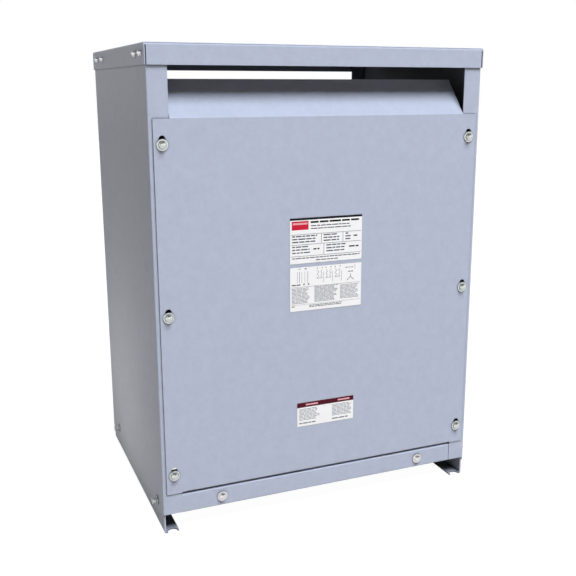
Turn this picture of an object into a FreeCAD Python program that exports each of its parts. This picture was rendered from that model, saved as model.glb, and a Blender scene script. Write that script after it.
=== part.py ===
"""Floor-standing dry-type transformer in a ventilated enclosure of folded sheet steel.

All sizes are in millimetres. The origin is at the middle of the footprint on the floor,
+Z points up and the front cover faces -Y. Each sub-part is written to parts/NAME.step.
"""
import FreeCAD, Part
import math
import os

# Enclosure, overall
total_height = 935.0
panel_width = 690.5          # over the outer faces of the side panels
post_depth = 518.0           # over the front and rear posts
sheet = 1.9                  # enclosure sheet steel
bend = 1.0                   # inner radius of the folds in that sheet

# Roof
roof_flange = 38.5
roof_bend = 3.1              # inner radius of the pan's front and rear folds
roof_seam = 2.0              # open seam at each corner of the folded pan
roof_front_clearance = 1.2   # between the posts and the front and rear flanges
roof_inner_clearance = 3.2   # from the side panel's top edge to the underside of the roof

# Side panels and their posts
side_bottom = 33.0           # lower edge of the side above the floor
post_bottom = 41.0           # lower edge of the posts above the floor
post_width = 38.5

# Bottom rails
rail_bottom = 39.7
rail_height = 39.3
rail_return = 12.0
rail_left_clearance = 0.1
rail_right_clearance = 1.1
rail_screw_inset = 121.0     # from the outer face of the side panel

# Front and rear covers
cover_inset = 8.6            # from the outer face of the side panel to the cover's edge
cover_gap = 4.7              # from the rail's top to the cover
cover_drop = 129.5           # from the roof's top to the fold under the baffle
cover_return = 14.0
baffle_reach = 58.0
baffle_rise = 68.0
baffle_end_clearance = 0.8
cover_screw_inset = 24.6     # from the outer face of the side panel
cover_screw_above_bottom = 38.5
cover_screw_below_top = 46.8
slot_width = 12.5
slot_length = 25.0
slot_lift = 4.0              # the slot's middle above the screw

# Foot channels and cross members
foot_sheet = 3.0
foot_bend = 1.0
foot_height = 80.0
foot_floor_flange = 29.5
foot_top_flange = 36.0
foot_end_inset = 3.5         # from the post's front face to the channel's end
notch_width = 20.0
notch_depth = 11.5
notch_inset = 19.0           # from the side panel's outer face to the notch's middle
cross_member_flange = 30.0
member_end_clearance = 3.0   # from the foot channel's web
seat_clearance = 0.1         # between a folded edge and the piece that it wraps

# Fasteners
cover_screw = dict(shank=8.0, flange=21.5, flange_thickness=1.8, across_flats=13.0, head=6.8)
roof_screw = dict(shank=6.0, flange=11.5, flange_thickness=1.0, across_flats=9.5, head=5.8)
side_bolt = dict(shank=8.0, flange=17.5, flange_thickness=2.6, across_flats=13.0, head=9.0)
clamp_bolt = dict(shank=10.0, flange=24.0, flange_thickness=2.5, across_flats=17.0, head=9.0)
bar_bolt = dict(shank=8.0, flange=16.0, flange_thickness=1.6, across_flats=13.0, head=7.0)
thread_clearance = 0.1       # around a shank in its thread
hole_clearance = 0.5         # around a shank in a plain hole
nut_width = 18.0
nut_thickness = 6.5
hex_nut_height = 8.0
screw_tail = 3.0             # what a screw stands out behind its nut
roof_screw_front = (21.5, 68.0)    # from the posts' front face
roof_screw_rear = (56.0, 118.0)    # from the posts' rear face
roof_screw_drop = 18.7             # from the roof's top
side_bolt_front = 47.0
side_bolt_rear = 77.0
side_bolt_height = 53.0

# Nameplates and small label on the front cover
plate_thickness = 0.5
plate_width = 155.5
plate_middle = 0.5
upper_plate_bottom = 522.0
upper_plate_height = 90.0
lower_plate_bottom = 426.0
lower_plate_height = 88.5
label_width = 127.0
label_height = 51.3
label_middle = 1.0
label_bottom = 181.0

# Core
leg_width = 90.0
leg_pitch = 195.0
core_stack = 110.0
core_lift = 5.0              # the core's underside above that of the lower clamps

# Core clamps, pads and rods
pad_height = 15.0
pad_width = 34.0
pad_length = 40.0
clamp_sheet = 4.0
clamp_bend = 4.0
clamp_height = 90.0
clamp_flange = 55.0
lower_clamp_end = 8.0        # from the side panel's outer face
upper_clamp_overhang = 45.0  # past the end of the core
yoke_bolt_offset = 22.0      # past the end of the core
rod_diameter = 10.0
rod_from_web = 30.0

# Windings
winding_clearance = 3.0      # between the core and the secondary winding
secondary_build = 12.0
duct = 9.0
primary_build = 17.0
winding_corner = 6.0         # inner corner radius of the secondary winding
secondary_end_gap = 15.0     # between the clamp flange and the secondary winding
primary_end_gap = 23.0
stick_width = 8.0
stick_spacing = 26.0
block_width = 24.0
block_spacing = 36.0         # from the middle of a phase

# Secondary bars and boards
bar_width = 40.0
bar_thickness = 5.0
bar_bend = 5.0
bar_rise = 200.0             # of the upright run above the winding
terminal_drop = 155.0        # from the roof's top to the upper ends of the bars
bar_hole = 11.0
bar_hole_spacing = 32.0
bar_hole_drop = 16.0
board_thickness = 8.0
board_height = 120.0
board_overhang = 22.0        # past the outer bars
bracket_width = 30.0
bracket_rise = 26.0
neutral_drop = 70.0          # from the foot of the winding to the lower end of the links
neutral_height = 30.0
neutral_overhang = 70.0
standoff_diameter = 26.0

# Primary taps and leads
tap_board_width = 34.0
tap_board_thickness = 8.0
tap_pitch = 32.0
tap_count = 6
tap_margin = 16.0
tap_stud = dict(shank=8.0, flange=15.0, flange_thickness=1.5, across_flats=12.0, head=7.0)
tap_link_width = 14.0
tap_link_thickness = 2.0
primary_bar_width = 25.0
primary_bar_thickness = 4.0
lead_diameter = 10.0
lead_bend = 15.0
lead_foot_rise = 45.0        # from the winding's lower end
lead_top_rise = 45.0         # from the bolt of the bar
lead_stand_off = 22.5        # behind the bars
lead_step = 18.0             # between the crossing lead and the other two

# Ground bar and strap
ground_bar_width = 25.0
ground_bar_thickness = 5.0
ground_bar_length = 140.0
ground_lift = 23.0           # from the lower yoke rods up to the middle of the bar
ground_screw_count = 5
strap_width = 18.0
strap_thickness = 1.0
strap_on_clamp = 36.0
strap_on_bar = 60.0

# Worked out from the sizes above
half_width = panel_width / 2
half_depth = post_depth / 2
post_inner = half_width - post_width
cover_half_width = half_width - cover_inset
cover_face = half_depth + sheet
cover_top = total_height - cover_drop
rail_top = rail_bottom + rail_height
rail_middle = rail_bottom + rail_height / 2
cover_bottom = rail_top + cover_gap
baffle_half_width = post_inner - baffle_end_clearance
panel_top = total_height - sheet - roof_inner_clearance
roof_bottom = total_height - roof_flange
cover_screw_x = half_width - cover_screw_inset
first_cover_screw = cover_bottom + cover_screw_above_bottom
last_cover_screw = cover_top - cover_screw_below_top
cover_screw_heights = (first_cover_screw, (first_cover_screw + last_cover_screw) / 2, last_cover_screw)
rail_screw_x = half_width - rail_screw_inset
panel_inner = half_width - sheet
foot_outer = panel_inner
foot_web_inner = foot_outer - foot_sheet
foot_half_length = half_depth - foot_end_inset
member_face = half_depth - sheet
member_top = foot_height - foot_sheet
member_bottom = rail_bottom + sheet + seat_clearance
phase_places = (-leg_pitch, 0.0, leg_pitch)
clamp_bottom = foot_height + pad_height
core_bottom = clamp_bottom + core_lift
window_bottom = core_bottom + leg_width
terminal_top = total_height - terminal_drop
secondary_top = terminal_top - bar_rise
upper_clamp_bottom = secondary_top + secondary_end_gap
core_top = upper_clamp_bottom + clamp_height - core_lift
window_top = core_top - leg_width
core_half_width = leg_pitch + leg_width / 2
clamp_face = core_stack / 2
clamp_tip = clamp_face + clamp_flange
flange_below = clamp_bottom + clamp_height
coil_middle = (flange_below + upper_clamp_bottom) / 2
pad_x = foot_outer - foot_top_flange / 2
pad_y = clamp_tip - pad_length / 2 - clamp_sheet
rod_x = leg_pitch / 2
rod_y = clamp_face + clamp_sheet + rod_from_web
secondary_inner = (leg_width / 2 + winding_clearance, core_stack / 2 + winding_clearance)
secondary_outer = tuple(half + secondary_build for half in secondary_inner)
primary_inner = tuple(half + duct for half in secondary_outer)
primary_outer = tuple(half + primary_build for half in primary_inner)
secondary_bottom = flange_below + secondary_end_gap
primary_bottom = flange_below + primary_end_gap
primary_top = upper_clamp_bottom - primary_end_gap
board_face = clamp_tip + board_thickness
bar_face = board_face + bar_thickness
tap_board_height = 2 * tap_margin + (tap_count - 1) * tap_pitch
tap_board_bottom = coil_middle - tap_board_height / 2
ground_bar_front = -clamp_face - clamp_sheet - ground_bar_length
HEX_SIDES = 6


def point(a, b, c, axis):
    """Point at a, b in the section across an axis, and at c along that axis."""
    return {"x": FreeCAD.Vector(c, a, b), "y": FreeCAD.Vector(a, c, b), "z": FreeCAD.Vector(a, b, c)}[axis]


def direction(axis):
    return point(0, 0, 1, axis)


def box(low, high):
    """Block between two opposite corners."""
    size = [high[i] - low[i] for i in range(3)]
    return Part.makeBox(*size, FreeCAD.Vector(*low))


def cylinder(radius, start, length, axis):
    return Part.makeCylinder(radius, length, FreeCAD.Vector(*start), direction(axis))


def mirrored_x(shape):
    return shape.mirror(FreeCAD.Vector(0, 0, 0), FreeCAD.Vector(1, 0, 0))


def mirrored_y(shape):
    return shape.mirror(FreeCAD.Vector(0, 0, 0), FreeCAD.Vector(0, 1, 0))


def fused(shapes):
    """One solid from pieces that meet, without the seams between them."""
    return shapes[0].fuse(shapes[1:]).removeSplitter()


def group(shapes):
    """Separate solids that share one node."""
    return Part.makeCompound([solid for shape in shapes for solid in shape.Solids])


def left_of(along):
    return FreeCAD.Vector(-along.y, along.x, 0)


def chain(ends, arcs, place):
    """Lines and arcs from one end to the other."""
    edges, here = [], ends[0]
    for first, middle, last in arcs:
        edges.append(Part.LineSegment(place(here), place(first)).toShape())
        edges.append(Part.Arc(place(first), place(middle), place(last)).toShape())
        here = last
    edges.append(Part.LineSegment(place(here), place(ends[1])).toShape())
    return edges


def folded(path, side, axis, start, end, thickness=sheet, radius=bend):
    """Sheet folded along a path on one of its faces, drawn along an axis from start to end.

    The path is a list of points in the section. The sheet lies to the left of the walk
    along it where side is 1, and to the right where side is -1.
    """
    corners = [FreeCAD.Vector(a, b, 0) for a, b in path]
    runs = [(after - before).normalize() for before, after in zip(corners, corners[1:])]
    face_arcs, back_arcs = [], []
    for corner, before, after in zip(corners[1:], runs, runs[1:]):
        toward = 1 if before.cross(after).z > 0 else -1
        face_radius = radius + thickness if toward == side else radius
        back_radius = face_radius - toward * side * thickness
        setback = face_radius * math.tan(before.getAngle(after) / 2)
        first = corner - before * setback
        last = corner + after * setback
        centre = first + left_of(before) * (toward * face_radius)
        outward = (corner - centre).normalize()
        face_arcs.append((first, centre + outward * face_radius, last))
        back_arcs.append((first + left_of(before) * (side * thickness),
                          centre + outward * back_radius,
                          last + left_of(after) * (side * thickness)))
    face_ends = (corners[0], corners[-1])
    back_ends = (corners[0] + left_of(runs[0]) * (side * thickness),
                 corners[-1] + left_of(runs[-1]) * (side * thickness))

    def place(flat):
        return point(flat.x, flat.y, start, axis)

    edges = chain(face_ends, face_arcs, place)
    edges.append(Part.LineSegment(place(face_ends[1]), place(back_ends[1])).toShape())
    edges += chain(back_ends[::-1], [arc[::-1] for arc in back_arcs[::-1]], place)
    edges.append(Part.LineSegment(place(back_ends[0]), place(face_ends[0])).toShape())
    return Part.Face(Part.Wire(edges)).extrude(direction(axis) * (end - start))


def extruded(outline, axis, start, end):
    """Solid with a straight-sided outline across an axis."""
    loop = [point(a, b, start, axis) for a, b in outline]
    return Part.Face(Part.makePolygon(loop + loop[:1])).extrude(direction(axis) * (end - start))


def rounded_block(half_x, half_y, corner, bottom, top):
    """Upright block about the Z axis with rounded corners."""
    block = box((-half_x, -half_y, bottom), (half_x, half_y, top))
    upright = [edge for edge in block.Edges if edge.Vertexes[0].Z != edge.Vertexes[1].Z]
    return block.makeFillet(corner, upright)


def slot(middle, length, width, low_y, high_y):
    """Upright slot through a wall that faces along Y."""
    x, z = middle
    half_straight = (length - width) / 2
    body = box((x - width / 2, low_y, z - half_straight), (x + width / 2, high_y, z + half_straight))
    ends = [cylinder(width / 2, (x, low_y, z + lift), high_y - low_y, "y")
            for lift in (-half_straight, half_straight)]
    return fused([body] + ends)


def hexagon(across_flats, height):
    radius = across_flats / math.sqrt(3)
    corners = [FreeCAD.Vector(radius * math.cos(2 * math.pi * i / HEX_SIDES),
                              radius * math.sin(2 * math.pi * i / HEX_SIDES), 0) for i in range(HEX_SIDES)]
    return Part.Face(Part.makePolygon(corners + corners[:1])).extrude(FreeCAD.Vector(0, 0, height))


def stood(shape, place, outward):
    """Shape made about the Z axis, turned to point outward from a place."""
    turn = FreeCAD.Rotation(FreeCAD.Vector(0, 0, 1), FreeCAD.Vector(*outward))
    shape.Placement = FreeCAD.Placement(FreeCAD.Vector(*place), turn)
    return shape


def bolt(sizes, shank_length, place, outward):
    """Hex bolt with a washer face, seated at a place, its head pointing outward."""
    head = hexagon(sizes["across_flats"], sizes["head"])
    head.translate(FreeCAD.Vector(0, 0, sizes["flange_thickness"]))
    washer = Part.makeCylinder(sizes["flange"] / 2, sizes["flange_thickness"])
    shank = Part.makeCylinder(sizes["shank"] / 2, shank_length, FreeCAD.Vector(0, 0, -shank_length))
    return stood(fused([head, washer, shank]), place, outward)


def hex_nut(sizes, place, outward):
    """Hex nut standing outward from a place."""
    hole = Part.makeCylinder(sizes["shank"] / 2 + thread_clearance, hex_nut_height)
    return stood(hexagon(sizes["across_flats"], hex_nut_height).cut(hole), place, outward)


def square_nut(sizes, place, outward):
    half = nut_width / 2
    body = box((-half, -half, 0), (half, half, nut_thickness))
    hole = Part.makeCylinder(sizes["shank"] / 2 + thread_clearance, nut_thickness)
    return stood(body.cut(hole), place, outward)


def holes(sizes, places, length, axis, clearance=hole_clearance):
    """Cutters for the holes of a set of bolts, each from its place along an axis."""
    return [cylinder(sizes["shank"] / 2 + clearance, place, length, axis) for place in places]


def roof_screw_places():
    """Seats of the roof screws on the left flange."""
    ahead = [-half_depth + inset for inset in roof_screw_front]
    behind = [half_depth - inset for inset in roof_screw_rear]
    return [(-half_width - sheet, y, total_height - roof_screw_drop) for y in ahead + behind]


def side_bolt_places():
    """Seats of the side bolts on the left panel."""
    return [(-half_width, y, side_bolt_height)
            for y in (-half_depth + side_bolt_front, half_depth - side_bolt_rear)]


def cover_screw_places():
    """Seats of the screws on the front cover."""
    return [(x, -cover_face, z) for x in (-cover_screw_x, cover_screw_x) for z in cover_screw_heights]


def rail_screw_places():
    """Seats of the screws on the front rail."""
    return [(x, -half_depth, rail_middle) for x in (-rail_screw_x, rail_screw_x)]


def roof_cover():
    """Pan folded down on all four sides, with its bends rounded and a seam open at each corner."""
    inner_y = half_depth + roof_front_clearance
    outer_x, outer_y = half_width + sheet, inner_y + sheet

    def pan(x, y, top, front_radius, side_radius):
        block = box((-x, -y, roof_bottom), (x, y, top))
        rim = [edge for edge in block.Edges if edge.CenterOfMass.z > top - bend]
        front = [edge for edge in rim if abs(edge.CenterOfMass.x) < bend]
        side = [edge for edge in rim if abs(edge.CenterOfMass.y) < bend]
        return block.makeFillet(front_radius, front).common(block.makeFillet(side_radius, side))

    shell = pan(outer_x, outer_y, total_height, roof_bend + sheet, bend + sheet).cut(
        pan(half_width, inner_y, total_height - sheet, roof_bend, bend))
    cutters = []
    for side_x in (-1, 1):
        for side_y in (-1, 1):
            xs = sorted((side_x * half_width, side_x * (half_width - roof_seam)))
            ys = sorted((side_y * (inner_y - bend), side_y * (outer_y + bend)))
            cutters.append(box((xs[0], ys[0], roof_bottom), (xs[1], ys[1], total_height - sheet - roof_bend)))
    left = holes(roof_screw, roof_screw_places(), sheet, "x")
    cutters += left + [mirrored_x(cutter) for cutter in left]
    return shell.cut(cutters)


def cover_slots(low_y, high_y):
    """Cutters for the slots of the cover screws, through the front cover or the front posts."""
    return [slot((x, z + slot_lift), slot_length, slot_width, low_y, high_y)
            for x, y, z in cover_screw_places()]


def left_side_panel():
    """Side sheet that wraps round as the front and rear posts."""
    path = [(-post_inner, -half_depth), (-half_width, -half_depth),
            (-half_width, half_depth), (-post_inner, half_depth)]
    panel = folded(path, -1, "z", side_bottom, panel_top)
    fold = bend + sheet
    cutters = []
    for side in (-1, 1):
        ys = sorted((side * (half_depth - fold), side * (half_depth + sheet)))
        cutters.append(box((-half_width - sheet, ys[0], side_bottom),
                           (-post_inner + sheet, ys[1], post_bottom)))
    front_slots = cover_slots(-half_depth, -member_face)
    cutters += front_slots + [mirrored_y(cutter) for cutter in front_slots]
    roof_threads = [(-half_width, y, z) for x, y, z in roof_screw_places()]
    cutters += holes(roof_screw, roof_threads, sheet, "x", thread_clearance)
    cutters += holes(side_bolt, side_bolt_places(), sheet, "x")
    return panel.cut(cutters)


def front_cover():
    """Removable cover with screw slots, a stiffening fold below and the inclined baffle on top."""
    path = [(-cover_face + cover_return, cover_bottom), (-cover_face, cover_bottom),
            (-cover_face, cover_top), (-half_depth + baffle_reach, cover_top + baffle_rise)]
    middle = folded(path, -1, "x", -baffle_half_width, baffle_half_width)
    edge = box((-cover_half_width, -cover_face, cover_bottom),
               (-baffle_half_width, -half_depth, cover_top - bend))
    return fused([middle, edge, mirrored_x(edge)]).cut(cover_slots(-cover_face, -half_depth))


def front_bottom_rail():
    """Folded strip between the posts, wrapped over the cross member."""
    tip = -half_depth + rail_return
    path = [(tip, rail_bottom), (-half_depth, rail_bottom), (-half_depth, rail_top), (tip, rail_top)]
    rail = folded(path, -1, "x", -post_inner + rail_left_clearance, post_inner - rail_right_clearance)
    return rail.cut(holes(cover_screw, rail_screw_places(), sheet, "y"))


def front_cross_member():
    """Channel that ties the foot channels together behind the front rail."""
    tip = -member_face + cross_member_flange
    path = [(tip, member_bottom), (-member_face, member_bottom),
            (-member_face, member_top), (tip, member_top)]
    half_length = foot_web_inner - member_end_clearance
    member = folded(path, -1, "x", -half_length, half_length, foot_sheet, foot_bend)
    threads = [(x, -member_face, z) for x, y, z in rail_screw_places()]
    return member.cut(holes(cover_screw, threads, foot_sheet, "y", thread_clearance))


def left_foot_channel():
    """Channel on the floor, with an open-ended anchor notch at each end of its floor flange."""
    path = [(-foot_outer + foot_floor_flange, 0), (-foot_outer, 0),
            (-foot_outer, foot_height), (-foot_outer + foot_top_flange, foot_height)]
    channel = folded(path, -1, "y", -foot_half_length, foot_half_length, foot_sheet, foot_bend)
    notch_x = -half_width + notch_inset
    notch_end = foot_half_length - notch_depth + notch_width / 2
    cutters = []
    for side in (-1, 1):
        ys = sorted((side * notch_end, side * (foot_half_length + foot_sheet)))
        cutters.append(box((notch_x - notch_width / 2, ys[0], 0),
                           (notch_x + notch_width / 2, ys[1], foot_sheet)))
        cutters.append(cylinder(notch_width / 2, (notch_x, side * notch_end, 0), foot_sheet, "z"))
        cutters += holes(clamp_bolt, [(-pad_x, side * pad_y, member_top)], foot_sheet, "z")
    webs = [(-foot_outer, y, z) for x, y, z in side_bolt_places()]
    cutters += holes(side_bolt, webs, foot_sheet, "x")
    return channel.cut(cutters)


def cover_screws():
    length = 2 * sheet + nut_thickness + screw_tail
    return group([bolt(cover_screw, length, place, (0, -1, 0)) for place in cover_screw_places()])


def cover_nuts():
    """Square nuts behind the posts, front and rear."""
    front = group([square_nut(cover_screw, (x, -member_face, z), (0, 1, 0))
                   for x, y, z in cover_screw_places()])
    return group([front, mirrored_y(front)])


def rail_screws():
    length = sheet + foot_sheet + screw_tail
    front = group([bolt(cover_screw, length, place, (0, -1, 0)) for place in rail_screw_places()])
    return group([front, mirrored_y(front)])


def roof_screws():
    length = 2 * sheet + 2 * screw_tail
    left = group([bolt(roof_screw, length, place, (-1, 0, 0)) for place in roof_screw_places()])
    return group([left, mirrored_x(left)])


def side_bolts():
    """Bolts through the side panels and the foot channels, each with its nut inside."""
    length = sheet + foot_sheet + hex_nut_height + screw_tail
    left = []
    for x, y, z in side_bolt_places():
        left.append(bolt(side_bolt, length, (x, y, z), (-1, 0, 0)))
        left.append(hex_nut(side_bolt, (-foot_web_inner, y, z), (1, 0, 0)))
    return group(left + [mirrored_x(piece) for piece in left])


def plate(middle, width, bottom, height):
    """Thin plate on the face of the front cover."""
    return box((middle - width / 2, -cover_face - plate_thickness, bottom),
               (middle + width / 2, -cover_face, bottom + height))


def core_legs():
    """Lower yoke and three legs of the laminated core."""
    outline = [(-core_half_width, core_bottom), (core_half_width, core_bottom)]
    for place in reversed(phase_places):
        outline += [(place + leg_width / 2, window_top), (place - leg_width / 2, window_top)]
        if place > phase_places[0]:
            outline += [(place - leg_width / 2, window_bottom),
                        (place - leg_pitch + leg_width / 2, window_bottom)]
    return extruded(outline, "y", -clamp_face, clamp_face)


def core_top_yoke():
    return box((-core_half_width, -clamp_face, window_top), (core_half_width, clamp_face, core_top))


def yoke_rod_x():
    return core_half_width + yoke_bolt_offset


def clamp(bottom, half_length):
    """Front channel of a pair that grips the core, its flanges pointing away from the core."""
    top = bottom + clamp_height
    path = [(-clamp_tip, bottom), (-clamp_face, bottom), (-clamp_face, top), (-clamp_tip, top)]
    channel = folded(path, 1, "x", -half_length, half_length, clamp_sheet, clamp_bend)
    web_holes = [(x, -clamp_face - clamp_sheet, bottom + clamp_height / 2)
                 for x in (-yoke_rod_x(), yoke_rod_x())]
    return channel.cut(holes(clamp_bolt, web_holes, clamp_sheet, "y"))


def lower_clamp():
    """Clamp that stands on the pads at its ends."""
    channel = clamp(clamp_bottom, half_width - lower_clamp_end)
    rods = holes(clamp_bolt, [(x, -rod_y, flange_below - clamp_sheet) for x in (-rod_x, rod_x)],
                 clamp_sheet, "z")
    feet = holes(clamp_bolt, [(x, -pad_y, clamp_bottom) for x in (-pad_x, pad_x)], clamp_sheet, "z")
    studs = holes(bar_bolt, [(x, -clamp_face - clamp_sheet, neutral_middle()) for x in (-rod_x, rod_x)],
                  clamp_sheet, "y", thread_clearance)
    return channel.cut(rods + feet + studs)


def grounded_clamp(channel):
    """The front lower clamp, threaded for the bolt of the ground strap."""
    x, y, z = strap_bolt_place()
    web = [(x, -clamp_face - clamp_sheet, z)]
    return channel.cut(holes(roof_screw, web, clamp_sheet, "y", thread_clearance))


def upper_clamp():
    """Clamp over the coils, which also carries a terminal board."""
    channel = clamp(upper_clamp_bottom, core_half_width + upper_clamp_overhang)
    rods = holes(clamp_bolt, [(x, -rod_y, upper_clamp_bottom) for x in (-rod_x, rod_x)], clamp_sheet, "z")
    threads = holes(bar_bolt, [(x, y, upper_clamp_bottom + clamp_height - clamp_sheet)
                               for x, y, z in bracket_places()], clamp_sheet, "z", thread_clearance)
    return channel.cut(rods + threads)


def threaded_rod(place, length, axis):
    return cylinder(rod_diameter / 2, place, length, axis)


def yoke_rods():
    """Threaded rods past the ends of both yokes, with a nut at each end."""
    face = clamp_face + clamp_sheet
    reach = face + hex_nut_height + screw_tail
    pieces = []
    for x in (-yoke_rod_x(), yoke_rod_x()):
        for z in (clamp_bottom + clamp_height / 2, upper_clamp_bottom + clamp_height / 2):
            pieces.append(threaded_rod((x, -reach, z), 2 * reach, "y"))
            pieces += [hex_nut(clamp_bolt, (x, side * face, z), (0, side, 0)) for side in (-1, 1)]
    return group(pieces)


def tie_rods():
    """Upright rods between the phases, from the lower to the upper clamps."""
    low, high = flange_below - clamp_sheet, upper_clamp_bottom + clamp_sheet
    reach = hex_nut_height + screw_tail
    pieces = []
    for x in (-rod_x, rod_x):
        for y in (-rod_y, rod_y):
            pieces.append(threaded_rod((x, y, low - reach), high - low + 2 * reach, "z"))
            pieces.append(hex_nut(clamp_bolt, (x, y, low), (0, 0, -1)))
            pieces.append(hex_nut(clamp_bolt, (x, y, high), (0, 0, 1)))
    return group(pieces)


def pad_places():
    return [(x, y) for x in (-pad_x, pad_x) for y in (-pad_y, pad_y)]


def isolation_pads():
    """Rubber pads between the foot channels and the lower clamps."""
    pads = []
    for x, y in pad_places():
        pad = box((x - pad_width / 2, y - pad_length / 2, foot_height),
                  (x + pad_width / 2, y + pad_length / 2, clamp_bottom))
        pads.append(pad.cut(holes(clamp_bolt, [(x, y, foot_height)], pad_height, "z")))
    return group(pads)


def hold_down_bolts():
    """Bolts through clamp, pad and foot channel, each with its nut below."""
    length = clamp_sheet + pad_height + foot_sheet + hex_nut_height + screw_tail
    pieces = []
    for x, y in pad_places():
        pieces.append(bolt(clamp_bolt, length, (x, y, clamp_bottom + clamp_sheet), (0, 0, 1)))
        pieces.append(hex_nut(clamp_bolt, (x, y, member_top), (0, 0, -1)))
    return group(pieces)


def winding(place, inner, outer, corner, bottom, top):
    """Rounded sleeve of wound conductor about one leg."""
    build = outer[0] - inner[0]
    sleeve = rounded_block(*outer, corner + build, bottom, top).cut(
        rounded_block(*inner, corner, bottom, top))
    sleeve.translate(FreeCAD.Vector(place, 0, 0))
    return sleeve


def secondary_winding(place):
    return winding(place, secondary_inner, secondary_outer, winding_corner,
                   secondary_bottom, secondary_top)


def primary_winding(place):
    corner = winding_corner + secondary_build + duct
    return winding(place, primary_inner, primary_outer, corner, primary_bottom, primary_top)


def duct_sticks():
    """Sticks that hold the cooling duct open on the flat sides of each winding."""
    half = stick_width / 2
    sticks = []
    for place in phase_places:
        for along in (-stick_spacing, 0, stick_spacing):
            for side in (-1, 1):
                xs = sorted((place + side * secondary_outer[0], place + side * primary_inner[0]))
                ys = sorted((side * secondary_outer[1], side * primary_inner[1]))
                sticks.append(box((xs[0], along - half, primary_bottom),
                                  (xs[1], along + half, primary_top)))
                sticks.append(box((place + along - half, ys[0], primary_bottom),
                                  (place + along + half, ys[1], primary_top)))
    return group(sticks)


def lower_coil_blocks():
    """Stepped blocks on the clamp flanges, under both windings of each phase."""
    outline = [(secondary_inner[1], flange_below), (primary_outer[1], flange_below),
               (primary_outer[1], primary_bottom), (primary_inner[1], primary_bottom),
               (primary_inner[1], secondary_bottom), (secondary_inner[1], secondary_bottom)]
    blocks = []
    for place in phase_places:
        for offset in (-block_spacing, block_spacing):
            start = place + offset - block_width / 2
            rear = extruded(outline, "x", start, start + block_width)
            blocks += [rear, mirrored_y(rear)]
    return group(blocks)


def upper_coil_blocks():
    """The lower blocks again, turned over under the flanges of the upper clamps."""
    return lower_coil_blocks().mirror(FreeCAD.Vector(0, 0, coil_middle), FreeCAD.Vector(0, 0, 1))


def board_bolt_height():
    return upper_clamp_bottom + clamp_height / 2


def bracket_places():
    """Seats of the bracket bolts on the top flange of the front upper clamp."""
    return [(x, -clamp_face - clamp_flange / 2, upper_clamp_bottom + clamp_height + clamp_sheet)
            for x in (-rod_x, rod_x)]


def bracket_board_places():
    """Seats of the bolts that hold the front board to its brackets."""
    top = upper_clamp_bottom + clamp_height
    return [(x, -board_face, top + bracket_rise - bracket_width / 2 + clamp_sheet) for x in (-rod_x, rod_x)]


def front_board():
    """Insulating board across the front of the upper clamp."""
    half_length = leg_pitch + bar_width / 2 + board_overhang
    board = box((-half_length, -board_face, upper_clamp_bottom),
                (half_length, -clamp_tip, upper_clamp_bottom + board_height))
    bars = [(x, -board_face, board_bolt_height()) for x in phase_places]
    return board.cut(holes(bar_bolt, bars, board_thickness, "y", thread_clearance)
                     + holes(bar_bolt, bracket_board_places(), board_thickness, "y"))


def front_brackets():
    """Two angles that hold the front board on the upper clamp."""
    top = upper_clamp_bottom + clamp_height
    inner = -clamp_face - clamp_sheet
    path = [(inner, top), (-clamp_tip, top), (-clamp_tip, top + bracket_rise)]
    pieces = []
    for x in (-rod_x, rod_x):
        angle = folded(path, -1, "x", x - bracket_width / 2, x + bracket_width / 2, clamp_sheet, clamp_bend)
        seat = [place for place in bracket_places() if place[0] == x]
        back = [(px, -clamp_tip, pz) for px, py, pz in bracket_board_places() if px == x]
        base = holes(bar_bolt, [(px, py, top) for px, py, pz in seat], clamp_sheet, "z")
        pieces.append(angle.cut(base + holes(bar_bolt, back, clamp_sheet, "y", thread_clearance)))
    return group(pieces)


def board_brackets():
    front = front_brackets()
    return group([front, mirrored_y(front)])


def board_bolts():
    """Bolts of both terminal boards: in their brackets, and through their bars."""
    pieces = []
    for place in bracket_places():
        pieces.append(bolt(bar_bolt, 2 * clamp_sheet, place, (0, 0, 1)))
    for place in bracket_board_places():
        pieces.append(bolt(bar_bolt, board_thickness + clamp_sheet, place, (0, -1, 0)))
    both = pieces + [mirrored_y(piece) for piece in pieces]
    for x in phase_places:
        z = board_bolt_height()
        both.append(bolt(bar_bolt, bar_thickness + board_thickness, (x, -bar_face, z), (0, -1, 0)))
        rear = board_face + primary_bar_thickness
        both.append(bolt(bar_bolt, primary_bar_thickness + board_thickness, (x, rear, z), (0, 1, 0)))
    return group(both)


def terminal_holes(place, face, thickness):
    """Two lug holes near the upper end of a bar, cut from a given Y."""
    return [cylinder(bar_hole / 2, (place, face, terminal_top - drop), thickness, "y")
            for drop in (bar_hole_drop, bar_hole_drop + bar_hole_spacing)]


def secondary_bar(place):
    """Flat bar from the top of a secondary winding to its terminal on the front board."""
    path = [(-secondary_inner[1], secondary_top), (-bar_face, secondary_top), (-bar_face, terminal_top)]
    bar = folded(path, -1, "x", place - bar_width / 2, place + bar_width / 2, bar_thickness, bar_bend)
    fixing = holes(bar_bolt, [(place, -bar_face, board_bolt_height())], bar_thickness, "y")
    return bar.cut(fixing + terminal_holes(place, -bar_face, bar_thickness))


def primary_bars():
    """Flat bars from the tops of the primary windings to their terminals on the rear board."""
    face = board_face + primary_bar_thickness
    path = [(primary_inner[1], primary_top), (face, primary_top), (face, terminal_top)]
    pieces = []
    for place in phase_places:
        bar = folded(path, 1, "x", place - primary_bar_width / 2, place + primary_bar_width / 2,
                     primary_bar_thickness, primary_bar_thickness)
        fixing = holes(bar_bolt, [(place, board_face, board_bolt_height())], primary_bar_thickness, "y")
        pieces.append(bar.cut(fixing + terminal_holes(place, board_face, primary_bar_thickness)))
    return group(pieces)


def neutral_foot():
    return secondary_bottom - neutral_drop


def neutral_middle():
    return neutral_foot() + neutral_height / 2


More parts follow.
